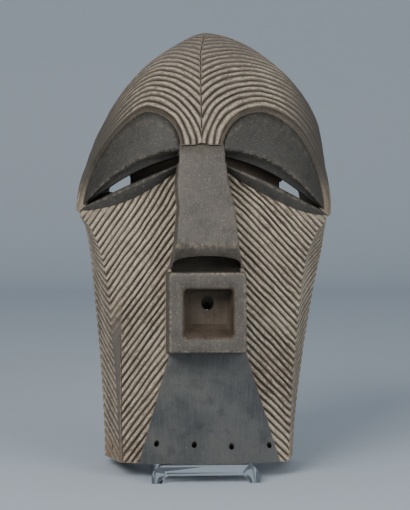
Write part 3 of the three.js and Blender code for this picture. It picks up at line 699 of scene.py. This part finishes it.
# Hollow and holes
def hollow():
    across = np.array([1, 0.85, 0.7, 0.55, 0.4, 0.26, 0.12])
    rings = []
    for share in np.linspace(0, 1, 14):
        z = mix(-0.03 * H, 0.715 * H, share)
        edge = ridge_x(z) - 0.8 * SIDE_WALL
        inner = point(across * edge, hollow_depth(across * edge, z), z)
        rings.append(mirrored_ring([point(rim_x(z) - SIDE_WALL, -5, z), *inner]) + (HOLLOW_DRIFT, 0, 0))
    lower = loft("hollow_low", rings, INSIDE)
    upper = dome_solid("hollow_top", 1.2 * FACE_WALL, 48, INSIDE, math.radians(5), HOLLOW_DRIFT)

    def over_slit(open_from):
        line = slit_top(np.linspace(0, 1, 41))
        line[:, 1] += np.where(line[:, 0] < open_from, SLIT_FLOOR, -1)
        return line

    combine(upper, [above(over_slit(SLIT_OPEN[1]), over_slit(SLIT_OPEN[-1]))], "INTERSECT")
    return [lower, upper]


def bore(name, radius, entry, reach):
    """A bore that goes in at a point and falls on its way."""
    inward = np.array([0, -math.cos(BORE_SLANT), -math.sin(BORE_SLANT)])
    return rod(name, radius, entry - 1.5 * radius * inward, entry + reach * inward)


def cord_holes():
    holes = [
        bore("cord_hole", CORD_HOLE_RADIUS, np.array([x, float(cheek_depth(x, z)), z]), 2 * CHIN_WALL)
        for x, z in CORD_HOLES
    ]
    z, d = SIDE_HOLE_HEIGHT, 0.3 * D
    for side in (1, -1):
        inner = side * (float(rim_x(z)) - 2 * SIDE_WALL)
        holes.append(rod("side_hole", CORD_HOLE_RADIUS, (side * W, d, z), (inner, d, z)))
    return holes


def maskwood():
    parts = []
    for side in (1, -1):
        parts += [forehead_half(side), lower_half(side), upper_lid(side), lower_lid(side)]
    parts += [nose(), mouth_block()]
    chin_foot, chin_top = (-0.514 * W, 0.59 * W), (-0.27 * W, 0.3 * W)
    lip_foot, lip_top = (-0.275 * W, 0.275 * W), (-0.24 * W, 0.24 * W)
    parts.append(panel("chin", chin_foot, -0.01 * H, chin_top, MOUTH[2], CHIN))
    parts.append(panel("lip", lip_foot, MOUTH[3] - 2, lip_top, 0.475 * H, FEATURE))
    dome = dome_solid("mask_wood", LID_STEP + 3, 64, LID)
    line = lid_edge(np.linspace(0, 1, 30))
    combine(dome, [above(line, line)], "INTERSECT")
    combine(dome, [lower_face("core", -LID_STEP, LID_STEP, CARVED), *parts], "UNION")
    cuts = [*hollow(), mouth_well(), under_nose(), seam(), *cord_holes(), *eye_slit(1), *eye_slit(-1)]
    entry = np.array([0.008 * W, MOUTH_DEPTH - WELL_DEPTH, 0.368 * H])
    cuts.append(bore("mouth_hole", MOUTH_HOLE_RADIUS, entry, 1.6 * WELL_DEPTH))
    cuts.append(prism("bottom", [(-200, -60), (200, -60), (200, 0), (-200, 0)], INSIDE, -50, 250))
    return combine(dome, cuts, "DIFFERENCE")


# The carver's eye: the mask drifts to one side, the crown and the brows most, and its right eye droops
rim_drift = profile([(0, -2), (0.13, -0.7), (0.26, 1), (0.4, 3.1), (0.5, 5.1), (0.6, 4)])
dome_drift = profile([
    (0.56, 3.6), (0.64, 1.8), (0.74, 4.8), (0.8, 7.8), (0.88, 8.4), (0.94, 8.2), (0.985, 12.5), (1.02, 13),
])
seam_drift = profile([(0.56, -3.4), (0.9, -3.4), (0.96, -1.5), (1.01, 3.5)])
WORN_CROWN = 0.98 * MASK_HEIGHT  # over this height the crown's point is rubbed down


def settled(points):
    x, d, z = points[:, 0], points[:, 1], points[:, 2]
    lower = mix(rim_drift(z), 0, ease(d, 0, 0.53 * D))
    climb = np.clip((z - SPRING) / (MASK_HEIGHT - SPRING), 0, 1)
    half = W * np.sqrt(np.maximum(0, 1 - climb**1.2)) + 0.015 * W
    upper = mix(seam_drift(z), dome_drift(z), np.minimum(1, (x / half) ** 2))
    aside = mix(lower, upper, ease(z, SPRING - 5, SPRING + 20))
    down = 4.5 * ease(x, 0.35 * W, 0.9 * W) * (1 - ease(np.abs(z - EYE_CORNER_Z), 0, 0.17 * H))
    over = np.maximum(0, z - WORN_CROWN)
    rubbed = 0.32 * over * ease(over, 0, 8)
    return np.stack([x + aside, d, z - down - rubbed], -1)


# The row frame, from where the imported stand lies
stand_low, stand_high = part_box("stand")
ORIGIN = np.array([
    500 * (stand_low.x + stand_high.x),
    1000 * stand_low.y + math.tan(LEAN) * STAND_HEIGHT,
    STAND_HEIGHT,
])


def place(points):
    """Points of the leaning group, x across, y back and z up it, in metres in the row frame."""
    x, y, z = points[:, 0], points[:, 1], points[:, 2]
    cos, sin = math.cos(LEAN), math.sin(LEAN)
    turned = np.stack([x, y * cos + z * sin, z * cos - y * sin], -1)
    return (turned + ORIGIN) / 1000


def get_points(mesh):
    flat = np.zeros(3 * len(mesh.vertices), "f4")
    mesh.vertices.foreach_get("co", flat)
    return flat.reshape(-1, 3).astype(float)


def set_points(mesh, points):
    mesh.vertices.foreach_set("co", points.astype("f4").ravel())
    mesh.update()


# Materials
def material(name):
    made = bpy.data.materials.new(name)
    made.use_nodes = True
    made.node_tree.nodes["Principled BSDF"].name = "Shader"
    return made


class Nodes:
    """Short ways to add and join shader nodes."""

    def __init__(self, made):
        self.tree = made.node_tree
        self.shader = self.tree.nodes["Shader"]

    def add(self, kind, **settings):
        node = self.tree.nodes.new(kind)
        for key, value in settings.items():
            setattr(node, key, value)
        return node

    def put(self, value, socket):
        """Joins an output to a socket, or sets the socket to a plain value."""
        if isinstance(value, bpy.types.NodeSocket):
            self.tree.links.new(value, socket)
        else:
            socket.default_value = value

    def place(self, stretch=(1, 1, 1)):
        where = self.add("ShaderNodeTexCoord").outputs["Object"]
        return self.vector("MULTIPLY", where, stretch)

    def vector(self, operation, a, b):
        node = self.add("ShaderNodeVectorMath", operation=operation)
        self.put(a, node.inputs[0])
        self.put(b, node.inputs[1])
        return node.outputs["Vector"]

    def maths(self, operation, a, b=0.0, clamp=False):
        node = self.add("ShaderNodeMath", operation=operation, use_clamp=clamp)
        self.put(a, node.inputs[0])
        self.put(b, node.inputs[1])
        return node.outputs["Value"]

    def noise(self, where, scale, detail=4.0, roughness=0.6):
        node = self.add("ShaderNodeTexNoise")
        self.put(where, node.inputs["Vector"])
        node.inputs["Scale"].default_value = scale
        node.inputs["Detail"].default_value = detail
        node.inputs["Roughness"].default_value = roughness
        return node.outputs["Fac"]

    def between(self, value, low, high, out_low=0.0, out_high=1.0):
        node = self.add("ShaderNodeMapRange", interpolation_type="SMOOTHSTEP")
        self.put(value, node.inputs["Value"])
        sockets = ("From Min", "From Max", "To Min", "To Max")
        for socket, number in zip(sockets, (low, high, out_low, out_high)):
            self.put(number, node.inputs[socket])
        return node.outputs["Result"]

    def blend(self, share, a, b):
        node = self.add("ShaderNodeMix", data_type="RGBA")
        self.put(share, node.inputs["Factor"])
        for value, socket in ((a, node.inputs[6]), (b, node.inputs[7])):
            self.put(value if isinstance(value, bpy.types.NodeSocket) else (*value, 1), socket)
        return node.outputs[2]

    def attribute(self, name):
        return self.add("ShaderNodeAttribute", attribute_name=name)

    def bump(self, height, distance, strength=1.0, under=None):
        node = self.add("ShaderNodeBump")
        self.put(height, node.inputs["Height"])
        node.inputs["Distance"].default_value = distance
        node.inputs["Strength"].default_value = strength
        if under is not None:
            self.put(under, node.inputs["Normal"])
        return node.outputs["Normal"]

    def finish(self, colour, roughness, normal, gloss=0.35):
        self.put(colour, self.shader.inputs["Base Color"])
        self.put(roughness, self.shader.inputs["Roughness"])
        self.put(normal, self.shader.inputs["Normal"])
        self.shader.inputs["Specular IOR Level"].default_value = gloss


WORN_BROWN = (0.24, 0.15, 0.085)
WORN_PALE = (0.27, 0.215, 0.155)
LID_WEAR = (0.15, 0.125, 0.095)
GRIME = (0.055, 0.046, 0.036)


def carved_wood(made):
    """Striated wood: painted shade darkens the cuts by their depth, brown on the flanks, with broken pale
    pigment along the crests.
    """
    n = Nodes(made)
    weave = n.add("ShaderNodeSeparateXYZ")
    n.put(n.attribute("weave").outputs["Vector"], weave.inputs[0])
    along, across, depth = weave.outputs
    where = n.place()
    patches = n.noise(where, 16, 3)
    lane = n.add("ShaderNodeCombineXYZ")
    n.put(n.maths("MULTIPLY", along, 0.16), lane.inputs[0])
    n.put(n.maths("MULTIPLY", across, 4.6), lane.inputs[1])
    dashes = n.noise(lane.outputs[0], 1.0, 3, 0.7)
    specks = n.noise(where, 620, 3)
    swerve = n.maths("MULTIPLY", n.maths("SUBTRACT", n.noise(where, 140, 3), 0.5), 0.5)
    line = n.maths("PINGPONG", n.maths("ADD", across, swerve), 0.5)
    crest = n.maths("MULTIPLY", n.between(line, 0.3, 0.1), n.between(depth, 0.5, 0.1))
    laid = n.between(n.maths("ADD", dashes, n.maths("MULTIPLY", patches, 0.35)), 0.5, 0.72)
    spot = n.add("ShaderNodeSeparateXYZ")
    n.put(where, spot.inputs[0])
    x, height = n.maths("ABSOLUTE", spot.outputs[0]), spot.outputs[2]
    forehead = n.between(height, 0.235, 0.262)
    # Painted shade: the sides of the forehead are darker and keep less pale pigment
    painted_temple_shade = n.maths("MULTIPLY", n.between(x, 0.045, 0.09), forehead)
    plain = n.between(depth, 0, PLAIN_MARK)
    bare = n.maths("MAXIMUM", plain, n.between(height, 0.335, 0.375, 0, 0.6))
    kept = n.maths("MAXIMUM", bare, n.maths("MAXIMUM", n.maths("MULTIPLY", forehead, 0.3), painted_temple_shade))
    laid = n.maths("MULTIPLY", laid, n.maths("SUBTRACT", 1, kept, clamp=True))
    broken = n.maths("MULTIPLY", laid, n.between(specks, 0.36, 0.54, 0.35, 1))
    pale = n.maths("MULTIPLY", crest, broken, clamp=True)
    wood = n.blend(n.between(patches, 0.38, 0.62), (0.128, 0.094, 0.065), (0.205, 0.163, 0.118))
    wood = n.blend(n.maths("MULTIPLY", forehead, 0.65), wood, (0.078, 0.063, 0.047))
    wood = n.blend(n.maths("MULTIPLY", painted_temple_shade, 0.6), wood, (0.05, 0.047, 0.041))
    # Painted shade: the wood darkens with the depth of the cut, in the striations and in the incised line
    wood = n.blend(n.between(depth, 0.25, 0.85), wood, (0.044, 0.034, 0.025))
    wood = n.blend(bare, wood, (0.118, 0.098, 0.084))
    wood = n.blend(n.between(n.noise(where, 75, 5, 0.75), 0.5, 0.66, 0, 0.6), wood, GRIME)
    pigment = n.blend(n.noise(where, 60, 3), (0.35, 0.285, 0.200), (0.62, 0.55, 0.43))
    colour = n.blend(pale, wood, pigment)
    corner = n.maths("MULTIPLY", n.between(x, 0.066, 0.082), n.between(height, 0.036, 0.02, 0, 0.7))
    colour = n.blend(n.maths("MULTIPLY", corner, n.between(specks, 0.35, 0.6)), colour, WORN_BROWN)
    fibre = n.noise(n.place((1, 1, 0.12)), 1500, 3)
    normal = n.bump(fibre, 0.0004, 0.5, n.bump(specks, 0.0005, 0.4))
    n.finish(colour, n.between(pale, 0, 1, 0.62, 0.85), normal)


def smooth_wood(made, dark, light, grain, wear=WORN_PALE, gloss=0.4, rough=0.55, speckle=0.0):
    """Blackened wood rubbed smooth, paler where its edges are worn."""
    n = Nodes(made)
    where = n.place()
    patches = n.noise(where, 22, 4)
    fibre = n.noise(n.place((1, 1, 0.07)), 520, 4, 0.7)
    colour = n.blend(n.between(patches, 0.32, 0.68), dark, light)
    colour = n.blend(n.between(fibre, 0.42, 0.75, 0, grain), colour, [c * 2.4 for c in light])
    fine = n.noise(where, 800, 3, 0.8)
    if speckle:
        dots = n.between(fine, 0.56, 0.68, 0, speckle)
        colour = n.blend(dots, colour, (0.34, 0.31, 0.27))
    edge = n.attribute("worn").outputs["Fac"]
    stains = n.between(n.noise(where, 75, 5, 0.75), 0.5, 0.68, 0, 0.45)
    colour = n.blend(stains, colour, [c * 0.55 for c in dark])
    rubbed = n.maths("MULTIPLY", edge, n.between(n.noise(where, 210, 5, 0.8), 0.44, 0.62), clamp=True)
    colour = n.blend(rubbed, colour, wear)
    normal = n.bump(fibre, 0.0005, 0.55, n.bump(fine, 0.0004, 0.35))
    n.finish(colour, n.between(patches, 0.3, 0.7, rough - 0.07, rough + 0.1), normal, gloss)


def clear_plastic(made):
    shader = made.node_tree.nodes["Shader"]
    shader.inputs["Base Color"].default_value = (0.97, 0.985, 0.99, 1)
    shader.inputs["Roughness"].default_value = 0.03
    shader.inputs["IOR"].default_value = 1.49
    shader.inputs["Transmission Weight"].default_value = 1.0
    n = Nodes(made)
    scratches = n.noise(n.place((1, 0.1, 1)), 700, 3)
    n.put(n.bump(scratches, 0.00003, 0.2), shader.inputs["Normal"])


materials = [material(f"wood_{name}") for name in WOODS]
carved_wood(materials[CARVED])
smooth_wood(materials[LID], (0.022, 0.020, 0.016), (0.039, 0.036, 0.030), 0.08, LID_WEAR, speckle=0.26)
smooth_wood(materials[CHIN], (0.046, 0.049, 0.050), (0.084, 0.084, 0.080), 0.14, rough=0.5, speckle=0.16)
smooth_wood(materials[FEATURE], (0.058, 0.050, 0.042), (0.092, 0.079, 0.066), 0.12, speckle=0.42)
smooth_wood(materials[RECESS], (0.048, 0.034, 0.024), (0.088, 0.067, 0.048), 0.2, rough=0.7)
smooth_wood(materials[INSIDE], (0.085, 0.058, 0.036), (0.135, 0.096, 0.062), 0.4, gloss=0.2, rough=0.8)
# Painted shade: dark wood for the walls of the bores, of the recess under the nose and of the seam
smooth_wood(materials[PAINTED_SHADE], (0.050, 0.045, 0.036), (0.080, 0.072, 0.058), 0.1, gloss=0.2, rough=0.85)
plastic = material("clear_plastic")
clear_plastic(plastic)


# The mask
mask = maskwood()
mask.name = "mask_wood"
local = settled(get_points(mask.data))
group = np.stack([local[:, 0], CHIN_DEPTH + TOE - local[:, 1], local[:, 2] + TOUCH], -1)
set_points(mask.data, place(group))
mask.data.shade_smooth()
mask.data.set_sharp_from_angle(angle=math.radians(42))
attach(mask, "root")
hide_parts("mask")
triangles = sum(len(face.vertices) - 2 for face in mask.data.polygons)
print("mask faces", len(mask.data.polygons), "triangles", triangles)


# The stand
def stand_piece():
    half = STAND_WIDTH / 2

    def arc(cx, cz, radius, start, end, steps):
        angles = np.radians(np.linspace(start, end, steps))
        return [(cx + radius * math.cos(a), cz + radius * math.sin(a)) for a in angles]

    outline = [(-half, -3 * SHEET), *arc(-half + SHOULDER, -SHOULDER, SHOULDER, 180, 90, 10)]
    outline += [*arc(half - SHOULDER, -SHOULDER, SHOULDER, 90, 0, 10), (half, -3 * SHEET)]
    bend, low = half - SHEET - INNER_BEND, -SHEET - INNER_BEND
    outline += [(half - SHEET, -3 * SHEET), *arc(bend, low, INNER_BEND, 0, 90, 8)]
    outline += [*arc(-bend, low, INNER_BEND, 90, 180, 8), (-half + SHEET, -3 * SHEET)]
    outline = np.array(outline)
    slab = loft("stand_clear", [point(outline[:, 0], y, outline[:, 1]) for y in (0, STAND_REACH)], INSIDE)
    toe_line = CHIN_DEPTH + TOE
    heel = toe_line - float(hollow_depth(POST_WIDTH / 2, 0)) + 4
    top = toe_line - float(hollow_depth(POST_WIDTH / 2, POST_HEIGHT)) + 3 * TOUCH
    side = [(heel, -1), (top, POST_HEIGHT), (top + POST_SHEET, POST_HEIGHT), (heel + POST_SHEET, -1)]
    ends = [HOLLOW_DRIFT - POST_WIDTH / 2, HOLLOW_DRIFT + POST_WIDTH / 2]
    post = loft("post", [[(x, y, z) for y, z in side] for x in ends], INSIDE)
    combine(slab, [post], "UNION")
    shape = bmesh.new()
    shape.from_mesh(slab.data)
    table = (0, 0, -STAND_HEIGHT / math.cos(LEAN))
    square = (0, -math.sin(LEAN), math.cos(LEAN))
    whole = shape.verts[:] + shape.edges[:] + shape.faces[:]
    cut = bmesh.ops.bisect_plane(shape, geom=whole, plane_co=table, plane_no=square, clear_inner=True)
    rim = [e for e in cut["geom_cut"] if isinstance(e, bmesh.types.BMEdge)]
    bmesh.ops.edgeloop_fill(shape, edges=rim)
    bmesh.ops.recalc_face_normals(shape, faces=shape.faces)
    shape.to_mesh(slab.data)
    shape.free()
    slab.data.materials.clear()
    slab.data.materials.append(plastic)
    slab.data.polygons.foreach_set("material_index", [0] * len(slab.data.polygons))
    set_points(slab.data, place(get_points(slab.data)))
    bevel = slab.modifiers.new("polished_edges", "BEVEL")
    bevel.width = 0.0008
    bevel.segments = 3
    bevel.limit_method = "ANGLE"
    bevel.angle_limit = math.radians(40)
    slab.data.shade_smooth()
    slab.data.set_sharp_from_angle(angle=math.radians(30))
    return slab


stand = stand_piece()
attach(stand, "root")
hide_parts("stand")


# Sweep of pale card: floor, bend and a wall that stands further off than the camera of a view from behind
def backdrop():
    bend_start, radius, top, half = 1.7, 0.5, 3.0, 2.6
    outline = [(-1.9, 0.0), (-0.6, 0.0), (bend_start, 0.0)]
    for angle in np.radians(np.linspace(8, 90, 11)):
        outline.append((bend_start + radius * math.sin(angle), radius * (1 - math.cos(angle))))
    outline.append((bend_start + radius, top))
    vertices = [(x, y, z - 0.0002) for y, z in outline for x in (-half, half)]
    faces = [(2 * i, 2 * i + 1, 2 * i + 3, 2 * i + 2) for i in range(len(outline) - 1)]
    mesh = bpy.data.meshes.new("backdrop")
    mesh.from_pydata(vertices, [], faces)
    mesh.shade_smooth()
    card = material("card")
    n = Nodes(card)
    tone = n.noise(n.place(), 3, 2)
    normal = n.bump(n.noise(n.place(), 600, 3), 0.0002, 0.15)
    n.finish(n.blend(tone, (0.43, 0.48, 0.53), (0.45, 0.50, 0.55)), 0.85, normal, 0.2)
    mesh.materials.append(card)
    made = bpy.data.objects.new("backdrop", mesh)
    bpy.context.scene.collection.objects.link(made)
    return made


backdrop()


# Light: a large soft source over and to the left of the camera, a weaker one to the right, and pale air
def soft_light(name, location, aim, size, power, colour):
    data = bpy.data.lights.new(name, "AREA")
    data.shape = "RECTANGLE"
    data.size, data.size_y = size
    data.energy = power
    data.color = colour
    made = bpy.data.objects.new(name, data)
    made.location = location
    made.rotation_euler = (Vector(aim) - Vector(location)).to_track_quat("-Z", "Y").to_euler()
    bpy.context.scene.collection.objects.link(made)


TARGET = (0, 0, 0.2)
soft_light("key", (-0.9, -1.45, 1.25), TARGET, (1.1, 0.9), 33, (1.0, 0.985, 0.965))
soft_light("fill", (1.2, -1.35, 0.75), TARGET, (1.2, 1.2), 17, (0.97, 0.985, 1.0))
world = bpy.data.worlds.new("air")
world.use_nodes = True
world.node_tree.nodes["Background"].inputs["Color"].default_value = (0.86, 0.93, 1.0, 1)
world.node_tree.nodes["Background"].inputs["Strength"].default_value = 0.42
bpy.context.scene.world = world

# Camera: a long lens a little left of the middle and a little above
TURN, RISE, DISTANCE = math.radians(2.5), math.radians(4.2), 1.5
AIM = Vector((-0.00157, -0.01169, 0.19212))
back = Vector((-math.sin(TURN) * math.cos(RISE), -math.cos(TURN) * math.cos(RISE), math.sin(RISE)))
camera_data = bpy.data.cameras.new("camera")
camera_data.sensor_width = 36
camera_data.lens = 121.7
camera_data.shift_x = 1 / 510
camera_data.shift_y = 0.5 / 510
camera = bpy.data.objects.new("camera", camera_data)
camera.location = AIM + DISTANCE * back
camera.rotation_euler = (-back).to_track_quat("-Z", "Y").to_euler()
bpy.context.scene.collection.objects.link(camera)
bpy.context.scene.camera = camera
